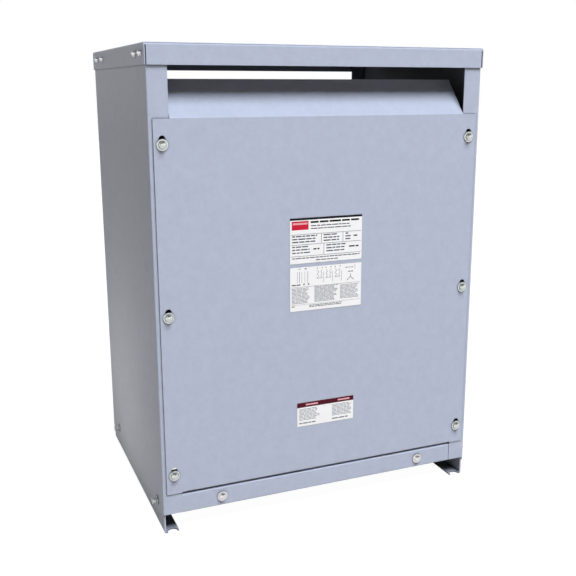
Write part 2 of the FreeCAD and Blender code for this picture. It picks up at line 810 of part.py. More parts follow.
def neutral_links():
    """Flat bars from the feet of the secondary windings down to the neutral bar."""
    path = [(-secondary_inner[1], secondary_bottom), (-bar_face, secondary_bottom),
            (-bar_face, neutral_foot())]
    pieces = []
    for place in phase_places:
        bar = folded(path, 1, "x", place - bar_width / 2, place + bar_width / 2, bar_thickness, bar_bend)
        hole = holes(bar_bolt, [(place, -bar_face, neutral_middle())], bar_thickness, "y", thread_clearance)
        pieces.append(bar.cut(hole))
    return group(pieces)


def neutral_bar():
    """Bar that joins the links and reaches past the last one as the neutral terminal."""
    end = leg_pitch + bar_width / 2
    bar = box((-end, -bar_face - bar_thickness, neutral_foot()),
              (end + neutral_overhang, -bar_face, neutral_foot() + neutral_height))
    places = [(x, -bar_face - bar_thickness, neutral_middle()) for x in phase_places + (-rod_x, rod_x)]
    lugs = [cylinder(bar_hole / 2, (end + neutral_overhang - drop, -bar_face - bar_thickness,
                                    neutral_middle()), bar_thickness, "y")
            for drop in (bar_hole_drop, bar_hole_drop + bar_hole_spacing)]
    return bar.cut(holes(bar_bolt, places, bar_thickness, "y") + lugs)


def neutral_standoffs():
    """Insulators that carry the neutral bar on the web of the lower clamp."""
    web = clamp_face + clamp_sheet
    pieces = []
    for x in (-rod_x, rod_x):
        post = cylinder(standoff_diameter / 2, (x, -bar_face, neutral_middle()), bar_face - web, "y")
        bore = holes(bar_bolt, [(x, -bar_face, neutral_middle())], bar_face - web, "y", thread_clearance)
        pieces.append(post.cut(bore))
    return group(pieces)


def neutral_bolts():
    """Bolts of the neutral bar, into the links and through the insulators."""
    face = -bar_face - bar_thickness
    pieces = [bolt(bar_bolt, 2 * bar_thickness, (x, face, neutral_middle()), (0, -1, 0))
              for x in phase_places]
    through = bar_thickness + bar_face - clamp_face
    pieces += [bolt(bar_bolt, through, (x, face, neutral_middle()), (0, -1, 0)) for x in (-rod_x, rod_x)]
    return group(pieces)


def tap_heights():
    return [tap_board_bottom + tap_margin + i * tap_pitch for i in range(tap_count)]


def linked_taps():
    """The two middle studs, which the link joins."""
    return tap_heights()[tap_count // 2 - 1:tap_count // 2 + 1]


def tap_boards():
    """Insulating strip with the tap studs, on the front of each primary winding."""
    face = -primary_outer[1] - tap_board_thickness
    top = tap_board_bottom + tap_board_height
    boards = []
    for x in phase_places:
        strip = box((x - tap_board_width / 2, face, tap_board_bottom),
                    (x + tap_board_width / 2, -primary_outer[1], top))
        studs = [(x, face, z) for z in tap_heights()]
        boards.append(strip.cut(holes(tap_stud, studs, tap_board_thickness, "y", thread_clearance)))
    return group(boards)


def tap_studs():
    face = -primary_outer[1] - tap_board_thickness
    pieces = []
    for x in phase_places:
        for z in tap_heights():
            raised = tap_link_thickness if z in linked_taps() else 0
            pieces.append(bolt(tap_stud, tap_board_thickness + raised, (x, face - raised, z), (0, -1, 0)))
    return group(pieces)


def tap_links():
    """Link that joins two studs on each tap board."""
    face = -primary_outer[1] - tap_board_thickness
    low, high = linked_taps()
    links = []
    for x in phase_places:
        strip = box((x - tap_link_width / 2, face - tap_link_thickness, low - tap_link_width / 2),
                    (x + tap_link_width / 2, face, high + tap_link_width / 2))
        studs = [(x, face - tap_link_thickness, z) for z in (low, high)]
        links.append(strip.cut(holes(tap_stud, studs, tap_link_thickness, "y")))
    return group(links)


def bent_rod(points, diameter, radius):
    """Round rod along straight runs joined by tangent arcs."""
    corners = [FreeCAD.Vector(*place) for place in points]
    edges, here = [], corners[0]
    for before, corner, after in zip(corners, corners[1:], corners[2:]):
        back = (before - corner).normalize()
        ahead = (after - corner).normalize()
        half_angle = back.getAngle(ahead) / 2
        setback = radius / math.tan(half_angle)
        first, last = corner + back * setback, corner + ahead * setback
        centre = corner + (back + ahead).normalize() * (radius / math.sin(half_angle))
        middle = centre + (corner - centre).normalize() * radius
        edges.append(Part.LineSegment(here, first).toShape())
        edges.append(Part.Arc(first, middle, last).toShape())
        here = last
    edges.append(Part.LineSegment(here, corners[-1]).toShape())
    start = Part.Wire(Part.makeCircle(diameter / 2, corners[0], (corners[1] - corners[0]).normalize()))
    return Part.Wire(edges).makePipeShell([start], True, False)


def primary_leads():
    """Insulated rods that join the foot of each primary winding to the top of the next."""
    low = primary_bottom + lead_foot_rise
    high = board_bolt_height() + lead_top_rise
    face = board_face + primary_bar_thickness
    rods = []
    for i, place in enumerate(phase_places):
        goal = phase_places[(i + 1) % len(phase_places)]
        crossing = lead_step if goal < place else 0
        out = face + lead_stand_off + crossing
        rods.append(bent_rod([(place, primary_outer[1], low), (place, out, low), (goal, out, high),
                              (goal, face, high)], lead_diameter, lead_bend))
    return group(rods)


def ground_middle():
    """Height of the ground bar and its strap, above the nuts of the yoke rods."""
    return clamp_bottom + clamp_height / 2 + ground_lift


def ground_screw_places():
    """Seats of the ground screws on the bar, front to rear."""
    step = ground_bar_length / ground_screw_count
    return [(-panel_inner + ground_bar_thickness, ground_bar_front + step / 2 + i * step, ground_middle())
            for i in range(ground_screw_count)]


def ground_bar():
    """Copper bar inside the left side panel, for the grounding conductors."""
    low = ground_middle() - ground_bar_width / 2
    bar = box((-panel_inner, ground_bar_front, low),
              (-panel_inner + ground_bar_thickness, ground_bar_front + ground_bar_length,
               low + ground_bar_width))
    seats = [(-panel_inner, y, z) for x, y, z in ground_screw_places()]
    return bar.cut(holes(roof_screw, seats, ground_bar_thickness, "x", thread_clearance))


def strap_front():
    """Y of the strap's end on the ground bar."""
    return -clamp_face - clamp_sheet - strap_on_bar


def strap_bolt_place():
    end = half_width - lower_clamp_end
    return (-end + strap_on_clamp / 2, -clamp_face - clamp_sheet - strap_thickness, ground_middle())


def core_ground_strap():
    """Copper strap from the web of the lower clamp round to the ground bar."""
    web = -clamp_face - clamp_sheet
    bar_inner = -panel_inner + ground_bar_thickness
    path = [(-half_width + lower_clamp_end + strap_on_clamp, web), (bar_inner, web),
            (bar_inner, strap_front())]
    low = ground_middle() - strap_width / 2
    strap = folded(path, 1, "z", low, low + strap_width, strap_thickness, strap_thickness)
    covered = [place for place in ground_screw_places() if place[1] > strap_front()]
    return strap.cut(holes(roof_screw, covered, strap_thickness, "x")
                     + holes(roof_screw, [strap_bolt_place()], strap_thickness, "y"))


def ground_screws():
    """Screws of the ground bar, two of them through the strap, and the strap's own bolt."""
    pieces = []
    for x, y, z in ground_screw_places():
        raised = strap_thickness if y > strap_front() else 0
        pieces.append(bolt(roof_screw, ground_bar_thickness + raised, (x + raised, y, z), (1, 0, 0)))
    pieces.append(bolt(roof_screw, strap_thickness + clamp_sheet, strap_bolt_place(), (0, -1, 0)))
    return group(pieces)


def sub_parts():
    """Every node's name and shape."""
    left_panel, cover, rail = left_side_panel(), front_cover(), front_bottom_rail()
    member, foot, screws = front_cross_member(), left_foot_channel(), cover_screws()
    lower, upper = lower_clamp(), upper_clamp()
    nodes = {
        "roof_cover": roof_cover(),
        "left_side_panel": left_panel,
        "right_side_panel": mirrored_x(left_panel),
        "front_cover": cover,
        "rear_cover": mirrored_y(cover),
        "front_bottom_rail": rail,
        "rear_bottom_rail": mirrored_y(rail),
        "front_cross_member": member,
        "rear_cross_member": mirrored_y(member),
        "left_foot_channel": foot,
        "right_foot_channel": mirrored_x(foot),
        "front_cover_screws": screws,
        "rear_cover_screws": mirrored_y(screws),
        "cover_nuts": cover_nuts(),
        "rail_screws": rail_screws(),
        "roof_screws": roof_screws(),
        "side_bolts": side_bolts(),
        "upper_nameplate": plate(plate_middle, plate_width, upper_plate_bottom, upper_plate_height),
        "lower_nameplate": plate(plate_middle, plate_width, lower_plate_bottom, lower_plate_height),
        "small_label": plate(label_middle, label_width, label_bottom, label_height),
        "core_legs": core_legs(),
        "core_top_yoke": core_top_yoke(),
        "front_lower_clamp": grounded_clamp(lower),
        "rear_lower_clamp": mirrored_y(lower),
        "front_upper_clamp": upper,
        "rear_upper_clamp": mirrored_y(upper),
        "yoke_rods": yoke_rods(),
        "tie_rods": tie_rods(),
        "isolation_pads": isolation_pads(),
        "hold_down_bolts": hold_down_bolts(),
        "duct_sticks": duct_sticks(),
        "lower_coil_blocks": lower_coil_blocks(),
        "upper_coil_blocks": upper_coil_blocks(),
        "secondary_board": front_board(),
        "primary_board": mirrored_y(front_board()),
        "board_brackets": board_brackets(),
        "board_bolts": board_bolts(),
        "neutral_links": neutral_links(),
        "neutral_bar": neutral_bar(),
        "neutral_standoffs": neutral_standoffs(),
        "neutral_bolts": neutral_bolts(),
        "tap_boards": tap_boards(),
        "tap_studs": tap_studs(),
        "tap_links": tap_links(),
        "primary_bars": primary_bars(),
        "primary_leads": primary_leads(),
        "ground_bar": ground_bar(),
        "ground_screws": ground_screws(),
        "core_ground_strap": core_ground_strap(),
    }
    for number, place in enumerate(phase_places, start=1):
        nodes[f"secondary_winding_{number}"] = secondary_winding(place)
        nodes[f"primary_winding_{number}"] = primary_winding(place)
        nodes[f"secondary_bar_{number}"] = secondary_bar(place)
    return nodes


os.makedirs("parts", exist_ok=True)
for name, shape in sub_parts().items():
    shape.exportStep(f"parts/{name}.step")
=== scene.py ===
"""Finish of a floor-standing dry-type transformer: painted steel, plated screws, printed plates and coils.

Everything is in metres. The origin is on the floor under the middle of the enclosure, whose front faces -Y.
"""

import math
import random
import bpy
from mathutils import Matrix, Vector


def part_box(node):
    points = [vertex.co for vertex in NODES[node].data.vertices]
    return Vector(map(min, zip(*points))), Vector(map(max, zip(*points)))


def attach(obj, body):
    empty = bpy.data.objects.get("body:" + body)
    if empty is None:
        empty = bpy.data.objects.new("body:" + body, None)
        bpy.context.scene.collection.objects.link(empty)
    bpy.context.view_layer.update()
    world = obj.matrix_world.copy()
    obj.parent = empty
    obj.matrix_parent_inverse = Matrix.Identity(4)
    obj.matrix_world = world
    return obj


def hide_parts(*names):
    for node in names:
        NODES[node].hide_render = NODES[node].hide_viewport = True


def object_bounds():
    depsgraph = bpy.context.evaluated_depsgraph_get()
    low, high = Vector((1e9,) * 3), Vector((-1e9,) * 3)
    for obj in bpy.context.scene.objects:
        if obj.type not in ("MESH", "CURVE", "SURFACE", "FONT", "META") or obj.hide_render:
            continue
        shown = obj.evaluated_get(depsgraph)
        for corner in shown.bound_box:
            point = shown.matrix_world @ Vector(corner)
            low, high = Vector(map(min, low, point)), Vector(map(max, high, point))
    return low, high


bl_info = {
    "name": "Dry-Type Transformer Finish",
    "version": (1, 0, 0),
    "blender": (4, 5, 0),
    "location": "3D View > Sidebar > Transformer",
    "description": "Paints, plates and prints the surfaces of a ventilated transformer",
    "category": "Object",
}

import bmesh
import bpy
from bpy.props import FloatProperty, FloatVectorProperty, PointerProperty
from mathutils import Matrix, Vector

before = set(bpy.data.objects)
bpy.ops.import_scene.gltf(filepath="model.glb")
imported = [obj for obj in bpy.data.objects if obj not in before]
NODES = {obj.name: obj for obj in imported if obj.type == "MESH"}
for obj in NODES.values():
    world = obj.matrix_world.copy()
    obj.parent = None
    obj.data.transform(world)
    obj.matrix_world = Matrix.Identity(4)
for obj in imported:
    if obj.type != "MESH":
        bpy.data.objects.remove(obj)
cad_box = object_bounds()

MM = 0.001
SKIN = 1.0 * MM              # a point deeper than this behind a sheet's outer face counts as inside
MERGE_DISTANCE = 0.002 * MM  # between corners of loose triangles that are one corner
FLAT_ANGLE = math.radians(0.5)       # faces that meet at less are one face
SHARP_ANGLE = math.radians(35.0)     # edges that turn by more are chamfered
SMOOTH_ANGLE = math.radians(32.0)    # edges that turn by less are shaded round
WHITE = (1.0, 1.0, 1.0, 1.0)
NOISE_MIDDLE = 0.5           # of a noise that runs from 0 to 1
PAINTED_SHADE_GAIN = 2.0           # painted shade is full where one part in this many of a point's sky is hidden, as beside a joint
EDGE_HIGHLIGHT_LIFT = 1.25             # brightness of the painted highlight on an eased edge, against the paint on the sheet
EDGE_HIGHLIGHT_SHARE = 0.5             # how much of that painted highlight shows
GROOVE_TONE = 0.55           # brightness of the darkest layer, against the palest
LAYER_SHARE = 0.6            # how much the layers differ in tone
HEXAGON_SPREAD = 1.01        # longest over shortest side of a hexagon that still counts as plain
CROWN_RINGS = ((0.42, 0.42), (0.62, 0.40), (0.75, 0.18))    # inward run and climb, in rises of the crown
INK_SHEEN = 0.15
FLOOR_WHITE = 1.15           # brightness of the floor's own white in the picture
HORIZON_TOP = 0.25           # upward part of a direction below which reflections show the surroundings
CEILING_START = 0.7          # upward part of a direction above which they show the ceiling
PAINTED_SHEETS = {
    "roof": ("roof_cover",),
    "panel": ("left_side_panel", "right_side_panel"),
    "cover": ("front_cover", "rear_cover"),
    "rail": ("front_bottom_rail", "rear_bottom_rail"),
    "member": ("front_cross_member", "rear_cross_member"),
    "foot": ("left_foot_channel", "right_foot_channel"),
}
# painted highlight: these screws get a white copy of the zinc, standing in for the glints on them
HIGHLIGHT_SCREWS = ("roof_screws", "rail_screws")
CROWNED_SCREWS = ("front_cover_screws", "rear_cover_screws", "rail_screws", "roof_screws")
PLAIN_FASTENERS = (
    "side_bolts", "cover_nuts", "yoke_rods", "tie_rods", "hold_down_bolts", "board_bolts",
    "neutral_bolts", "ground_screws",
)
CLAMPS = ("front_lower_clamp", "rear_lower_clamp", "front_upper_clamp", "rear_upper_clamp")
BOARDS = ("secondary_board", "primary_board", "tap_boards", "neutral_standoffs",
          "lower_coil_blocks", "upper_coil_blocks", "duct_sticks")
ALUMINIUM_BARS = ("secondary_bar_1", "secondary_bar_2", "secondary_bar_3", "neutral_bar",
                  "neutral_links", "primary_bars")


def color_property(name, description, default):
    return FloatVectorProperty(name=name, description=description, default=default,
                               subtype="COLOR", size=3, min=0.0, max=1.0)


def length_property(name, description, default, top=1.0):
    return FloatProperty(name=name, description=description, default=default, min=0.0, max=top,
                         subtype="DISTANCE", unit="LENGTH", precision=5)


def share_property(name, description, default, top=1.0):
    return FloatProperty(name=name, description=description, default=default, min=0.0, max=top)


def power_property(name, description, watts):
    return FloatProperty(name=name, description=description, default=watts, min=0.0, unit="POWER")


def angle_property(name, description, degrees):
    return FloatProperty(name=name, description=description, default=math.radians(degrees), subtype="ANGLE")


class EnclosureFinish(bpy.types.PropertyGroup):
    paint: color_property("Paint", "Colour of the baked enamel", (0.492, 0.530, 0.596))
    roughness: share_property("Roughness", "Gloss of the enamel, from 0, a mirror, to 1, matt", 0.42)
    mottle: share_property("Mottle", "How much the colour drifts over a sheet", 0.135)
    mottle_size: length_property("Mottle size", "Width of the largest patches of one tone", 0.022)
    peel_size: length_property("Peel size", "Width of one orange-peel dimple", 0.0022)
    peel_height: length_property("Peel height", "Depth of the orange peel", 0.00004)
    edge_radius: length_property("Edge radius", "Rounding that the paint gives to a cut edge", 0.0006)
    sheen: share_property("Sheen", "Strength of the reflections on the enamel", 0.12)
    # painted shade: the next two darken the enamel beside joints and under overhangs, where shade falls
    painted_shade_reach: length_property("Crevice reach", "How far from a joint the paint looks darker", 0.0045)
    painted_shade_depth: share_property("Crevice depth", "How much darker the paint looks in a joint", 0.7)
    # painted shade: the next three darken the enamel inside the enclosure, on the covers' baffles and in
    # the foot channels, where shade falls
    inside_shade_tone: share_property("Inside tone", "Brightness of the coat inside, against that outside", 0.36)
    cover_inside_shade_tone: share_property("Cover inside tone", "The same for the covers and their baffles", 0.9)
    foot_inside_shade_tone: share_property("Foot inside tone", "The same for the foot channels", 0.65)


class FastenerFinish(bpy.types.PropertyGroup):
    plating: color_property("Plating", "Colour of the zinc", (0.87, 0.925, 0.885))
    # painted highlight: pure white zinc for the roof and rail screws, standing in for their glints
    highlight_plating: color_property("Bright plating", "That on the roof and rail screws", (1.0, 1.0, 1.0))
    edge_break: length_property("Edge break", "Width of the chamfers on heads and nuts", 0.0005)
    # painted shade: the next three darken the plating where a head meets its washer and the washer meets
    # the sheet
    painted_shade_reach: length_property("Crevice reach", "How far from a joint the plating looks darker", 0.0025)
    painted_shade_depth: share_property("Crevice depth", "How much darker the plating looks in a joint", 0.82)
    highlight_painted_shade_depth: share_property("Bright crevice depth", "That on the roof and rail screws", 0.25)
    crown_rise: length_property("Crown rise", "Height of the rounded top of a screw head", 0.0029)


class PlateFinish(bpy.types.PropertyGroup):
    foil: color_property("Foil", "Ground colour of the plates", (1.0, 0.98, 0.90))
    ink: color_property("Ink", "Colour of the dark print", (0.006, 0.006, 0.009))
    fine_ink: color_property("Fine ink", "Colour of the small print", (0.10, 0.10, 0.11))
    pale_ink: color_property("Pale ink", "Colour of the finest print", (0.36, 0.36, 0.36))
    red_field: color_property("Red field", "Colour of the field on the nameplate", (0.64, 0.02, 0.042))
    pink: color_property("Pink", "Colour of the pale bars on the field and the band", (0.86, 0.42, 0.42))
    band: color_property("Band", "Colour of the band on the small label", (0.085, 0.006, 0.016))
    ink_height: length_property("Ink height", "Thickness of the print", 0.00004)


class CoreFinish(bpy.types.PropertyGroup):
    steel: color_property("Steel", "Colour of the varnished sheet edges", (0.085, 0.088, 0.095))
    clamp_paint: color_property("Clamp paint", "Colour of the clamps' primer", (0.03, 0.032, 0.036))
    lamination: length_property("Lamination", "Thickness of one step in the stack of core sheets", 0.0012)
    rubber: color_property("Rubber", "Colour of the isolation pads", (0.012, 0.012, 0.012))


class CoilFinish(bpy.types.PropertyGroup):
    varnish: color_property("Varnish", "Colour of the primary windings", (0.20, 0.085, 0.028))
    foil_wrap: color_property("Foil wrap", "Colour of the secondary windings", (0.33, 0.22, 0.10))
    turn: length_property("Turn", "Height of one turn of wire", 0.0042)
    board: color_property("Board", "Colour of the glass-polyester boards", (0.30, 0.045, 0.028))
    sleeve: color_property("Sleeve", "Colour of the lead sleeves", (0.016, 0.016, 0.018))


class TerminalFinish(bpy.types.PropertyGroup):
    aluminium: color_property("Aluminium", "Colour of the bus bars", (0.70, 0.71, 0.72))
    brass: color_property("Brass", "Colour of the tap studs", (0.60, 0.42, 0.13))
    copper: color_property("Copper", "Colour of the ground bar", (0.62, 0.27, 0.15))


class StageLooks(bpy.types.PropertyGroup):
    floor: color_property("Floor", "Colour of the studio floor", (0.58, 0.544, 0.491))
    floor_size: length_property("Floor size", "Width of the floor", 40.0, 80.0)
    floor_glow: share_property("Floor glow", "Share of the floor's own white in the picture", 0.85)
    ambient: share_property("Ambient", "Strength of the light from all round", 0.02, 4.0)
    ambient_color: color_property("Ambient colour", "Colour of the light from all round", (1.0, 0.96, 0.90))
    surround: share_property("Surround", "Brightness of the white surroundings in reflections", 0.97, 4.0)
    overhead: share_property("Overhead", "Brightness of the dark ceiling in reflections", 0.12, 4.0)
    key_power: power_property("Key light", "Power of the large soft light in front", 5030.0)
    key_color: color_property("Key colour", "Colour of the large soft light", (0.835, 0.87, 1.0))
    key_size: length_property("Key size", "Width of the large soft light", 8.4, 20.0)
    key_azimuth: angle_property("Key azimuth", "Side of the light, to the right of the front", 16.0)
    key_elevation: angle_property("Key elevation", "Height of the light above the horizon", 61.0)
    key_distance: length_property("Key distance", "How far the light stands away", 18.0, 60.0)
    fill_power: power_property("Fill light", "Power of the weak light low on the left", 0.66)
    fill_color: color_property("Fill colour", "Colour of the weak light", (1.0, 0.96, 0.90))
    fill_azimuth: angle_property("Fill azimuth", "Side of the weak light, to the right of the front", -99.0)
    fill_elevation: angle_property("Fill elevation", "Height of the weak light above the middle", -29.0)
    fill_distance: length_property("Fill distance", "How far the weak light stands away", 0.86, 60.0)
    fill_size: length_property("Fill size", "Width of the weak light", 0.08, 20.0)
    back_power: power_property("Back light", "Power of the soft light behind the enclosure", 560.0)
    back_color: color_property("Back colour", "Colour of the soft light behind", (0.90, 0.92, 1.0))
    back_azimuth: angle_property("Back azimuth", "Side of the light, to the right of the front", 166.0)
    back_elevation: angle_property("Back elevation", "Height of the light behind above the horizon", 12.0)
    back_distance: length_property("Back distance", "How far the light behind stands away", 12.0, 60.0)
    back_size: length_property("Back size", "Width of the light behind", 4.0, 20.0)
    lens: FloatProperty(name="Lens", description="Focal length on a 36 mm wide sensor", default=52.202,
                        min=1.0, unit="CAMERA")
    eye: FloatVectorProperty(name="Eye", description="Place of the camera", size=3, subtype="TRANSLATION",
                             unit="LENGTH", default=(-0.6747, -1.7351, 0.8598))
    yaw: angle_property("Yaw", "Turn of the camera to the right of straight ahead", 22.882)
    pitch: angle_property("Pitch", "Tilt of the camera downwards", 13.144)
    crop: FloatVectorProperty(name="Crop", description="Shift of the picture off the lens, in widths",
                              size=2, default=(-0.0237, -0.0114))


def new_group(name, inputs, outputs):
    """Shader node group with named sockets, and its input and output nodes."""
    group = bpy.data.node_groups.new(name, "ShaderNodeTree")
    for label, kind, default in inputs:
        socket = group.interface.new_socket(label, in_out="INPUT", socket_type=kind)
        socket.default_value = default
    for label, kind in outputs:
        group.interface.new_socket(label, in_out="OUTPUT", socket_type=kind)
    start = group.nodes.new("NodeGroupInput")
    end = group.nodes.new("NodeGroupOutput")
    return group, start.outputs, end.inputs


def feed(tree, socket, value):
    """Links an input to another node's output, or sets it to a plain value."""
    if isinstance(value, bpy.types.NodeSocket):
        tree.links.new(value, socket)
    else:
        socket.default_value = value


def add_node(tree, kind, **settings):
    """Node whose inputs and settings are given by name, with _ for a space."""
    node = tree.nodes.new(kind)
    for name, value in settings.items():
        label = name.replace("_", " ")
        if label in node.inputs:
            feed(tree, node.inputs[label], value)
        else:
            setattr(node, name, value)
    return node


def math_node(tree, operation, first, second=0.0):
    """Result of one sum on two outputs or numbers."""
    node = add_node(tree, "ShaderNodeMath", operation=operation)
    for socket, value in zip(node.inputs, (first, second)):
        feed(tree, socket, value)
    return node.outputs[0]


def mix_color(tree, mode, share, first, second):
    """Result of mixing two colours."""
    node = add_node(tree, "ShaderNodeMix", data_type="RGBA", blend_type=mode)
    for label, value in (("Factor_Float", share), ("A_Color", first), ("B_Color", second)):
        feed(tree, next(s for s in node.inputs if s.identifier == label), value)
    return next(s for s in node.outputs if s.identifier == "Result_Color")


def mix_shaders(tree, share, first, second):
    """Result of mixing two shaders."""
    node = tree.nodes.new("ShaderNodeMixShader")
    for socket, value in zip(node.inputs, (share, first, second)):
        tree.links.new(value, socket)
    return node.outputs[0]


def dimmed(tree, color, share):
    """Colour of which only a share is kept."""
    grey = add_node(tree, "ShaderNodeCombineColor", Red=share, Green=share, Blue=share)
    return mix_color(tree, "MULTIPLY", 1.0, color, grey.outputs[0])


def object_place(tree):
    return tree.nodes.new("ShaderNodeTexCoord").outputs["Object"]


def noise(tree, place, scale, detail, roughness=0.5):
    """Grey noise from 0 to 1."""
    node = add_node(tree, "ShaderNodeTexNoise", Vector=place, Scale=scale, Detail=detail,
                    Roughness=roughness)
    return node.outputs["Fac"]


def surface_grain_group():
    """Drift of colour and gloss over a surface, with a fine relief of a given size."""
    group, given, result = new_group(
        "surface_grain",
        (("Color", "NodeSocketColor", (0.5, 0.5, 0.5, 1.0)),
         ("Drift", "NodeSocketFloat", 0.05),
         ("Drift Scale", "NodeSocketFloat", 9.0),
         ("Roughness", "NodeSocketFloat", 0.4),
         ("Roughness Drift", "NodeSocketFloat", 0.08),
         ("Relief Scale", "NodeSocketFloat", 450.0)),
        (("Color", "NodeSocketColor"), ("Roughness", "NodeSocketFloat"), ("Height", "NodeSocketFloat")))
    place = object_place(group)
    broad = noise(group, place, given["Drift Scale"], detail=4.5, roughness=0.86)
    fine = noise(group, place, given["Relief Scale"], detail=1.5)
    swing = math_node(group, "MULTIPLY", math_node(group, "SUBTRACT", broad, NOISE_MIDDLE), given["Drift"])
    tone = math_node(group, "ADD", math_node(group, "MULTIPLY", swing, 2.0), 1.0)
    group.links.new(dimmed(group, given["Color"], tone), result["Color"])
    away = math_node(group, "SUBTRACT", fine, NOISE_MIDDLE)
    gloss = math_node(group, "MULTIPLY", away, given["Roughness Drift"])
    group.links.new(math_node(group, "ADD", given["Roughness"], gloss), result["Roughness"])
    group.links.new(fine, result["Height"])
    return group


def eased_edge_group():
    """Normal that rounds sharp edges, and a mask of where the edges are."""
    group, given, result = new_group(
        "eased_edge", (("Radius", "NodeSocketFloat", 0.0006), ("Mask Reach", "NodeSocketFloat", 0.35)),
        (("Normal", "NodeSocketVector"), ("Edge", "NodeSocketFloat")))
    rounding = add_node(group, "ShaderNodeBevel", samples=4, Radius=given["Radius"])
    true_normal = group.nodes.new("ShaderNodeNewGeometry").outputs["Normal"]
    group.links.new(rounding.outputs["Normal"], result["Normal"])
    match = add_node(group, "ShaderNodeVectorMath", operation="DOT_PRODUCT")
    group.links.new(rounding.outputs["Normal"], match.inputs[0])
    group.links.new(true_normal, match.inputs[1])
    away = math_node(group, "SUBTRACT", 1.0, match.outputs["Value"])
    share = math_node(group, "DIVIDE", away, given["Mask Reach"])
    group.links.new(math_node(group, "MINIMUM", share, 1.0), result["Edge"])
    return group


def painted_shade_group():
    """Painted shade: share of the tone that is kept beside joints and under overhangs, where nearby
    surfaces hide the sky.
    """
    group, given, result = new_group(
        "crevice", (("Reach", "NodeSocketFloat", 0.007), ("Depth", "NodeSocketFloat", 0.7)),
        (("Share", "NodeSocketFloat"),))
    open_sky = add_node(group, "ShaderNodeAmbientOcclusion", samples=6, Distance=given["Reach"])
    hidden = math_node(group, "SUBTRACT", 1.0, open_sky.outputs["AO"])
    dark = math_node(group, "MINIMUM", math_node(group, "MULTIPLY", hidden, PAINTED_SHADE_GAIN), 1.0)
    lost = math_node(group, "MULTIPLY", dark, given["Depth"])
    group.links.new(math_node(group, "SUBTRACT", 1.0, lost), result["Share"])
    return group


def inside_shade_mask_group():
    """1 inside a box about the upright axis, 0 outside it; it marks where the enamel gets painted shade."""
    group, given, result = new_group(
        "inside_mask", (("Half Width", "NodeSocketFloat", 0.3), ("Half Depth", "NodeSocketFloat", 0.2),
                        ("Top", "NodeSocketFloat", 0.9)),
        (("Inside", "NodeSocketFloat"),))
    parts = group.nodes.new("ShaderNodeSeparateXYZ")
    group.links.new(object_place(group), parts.inputs[0])
    across = math_node(group, "ABSOLUTE", parts.outputs["X"])
    deep = math_node(group, "ABSOLUTE", parts.outputs["Y"])
    inside = math_node(group, "LESS_THAN", across, given["Half Width"])
    for value, limit in ((deep, given["Half Depth"]), (parts.outputs["Z"], given["Top"])):
        inside = math_node(group, "MULTIPLY", inside, math_node(group, "LESS_THAN", value, limit))
    group.links.new(inside, result["Inside"])
    return group


def layer_lines_group():
    """Parallel layers along one axis of the piece: a tone for each layer and a groove between them."""
    group, given, result = new_group(
        "layer_lines",
        (("Along", "NodeSocketVector", (0.0, 0.0, 1.0)), ("Layers per Metre", "NodeSocketFloat", 250.0)),
        (("Tone", "NodeSocketFloat"), ("Height", "NodeSocketFloat")))
    along = add_node(group, "ShaderNodeVectorMath", operation="DOT_PRODUCT")
    group.links.new(object_place(group), along.inputs[0])
    group.links.new(given["Along"], along.inputs[1])
    count = math_node(group, "MULTIPLY", along.outputs["Value"], given["Layers per Metre"])
    whole = math_node(group, "FLOOR", count)
    chance = add_node(group, "ShaderNodeTexWhiteNoise", noise_dimensions="1D", W=whole)
    group.links.new(chance.outputs["Value"], result["Tone"])
    inside = math_node(group, "SUBTRACT", count, whole)
    round_top = math_node(group, "SINE", math_node(group, "MULTIPLY", inside, math.pi))
    group.links.new(round_top, result["Height"])
    return group


def shared_group(name):
    """The node group of that name, built on its first use."""
    makers = {
        "surface_grain": surface_grain_group,
        "eased_edge": eased_edge_group,
        "crevice": painted_shade_group,
        "inside_mask": inside_shade_mask_group,
        "layer_lines": layer_lines_group,
    }
    return bpy.data.node_groups.get(name) or makers[name]()


def place_group(tree, name, **values):
    """A shared group placed in a material with its own values."""
    return add_node(tree, "ShaderNodeGroup", node_tree=shared_group(name), **values)


def solid_color(color):
    return (color[0], color[1], color[2], 1.0)


def new_material(name):
    """Material, its node tree and its shader."""
    material = bpy.data.materials.new(name)
    material.use_nodes = True
    tree = material.node_tree
    shader = tree.nodes["Principled BSDF"]
    return material, tree, shader


def relief(tree, shader, height, distance, normal=None):
    """Bump that feeds the shader's normal."""
    bump = add_node(tree, "ShaderNodeBump", Distance=distance, Height=height)
    if normal is not None:
        tree.links.new(normal, bump.inputs["Normal"])
    tree.links.new(bump.outputs["Normal"], shader.inputs["Normal"])


def grained(tree, shader, color, roughness, relief_height, normal=None, **values):
    """Feeds the shader from the surface grain group."""
    grain = place_group(tree, "surface_grain", Color=solid_color(color), Roughness=roughness, **values)
    tree.links.new(grain.outputs["Color"], shader.inputs["Base Color"])
    tree.links.new(grain.outputs["Roughness"], shader.inputs["Roughness"])
    relief(tree, shader, grain.outputs["Height"], relief_height, normal)
    return grain


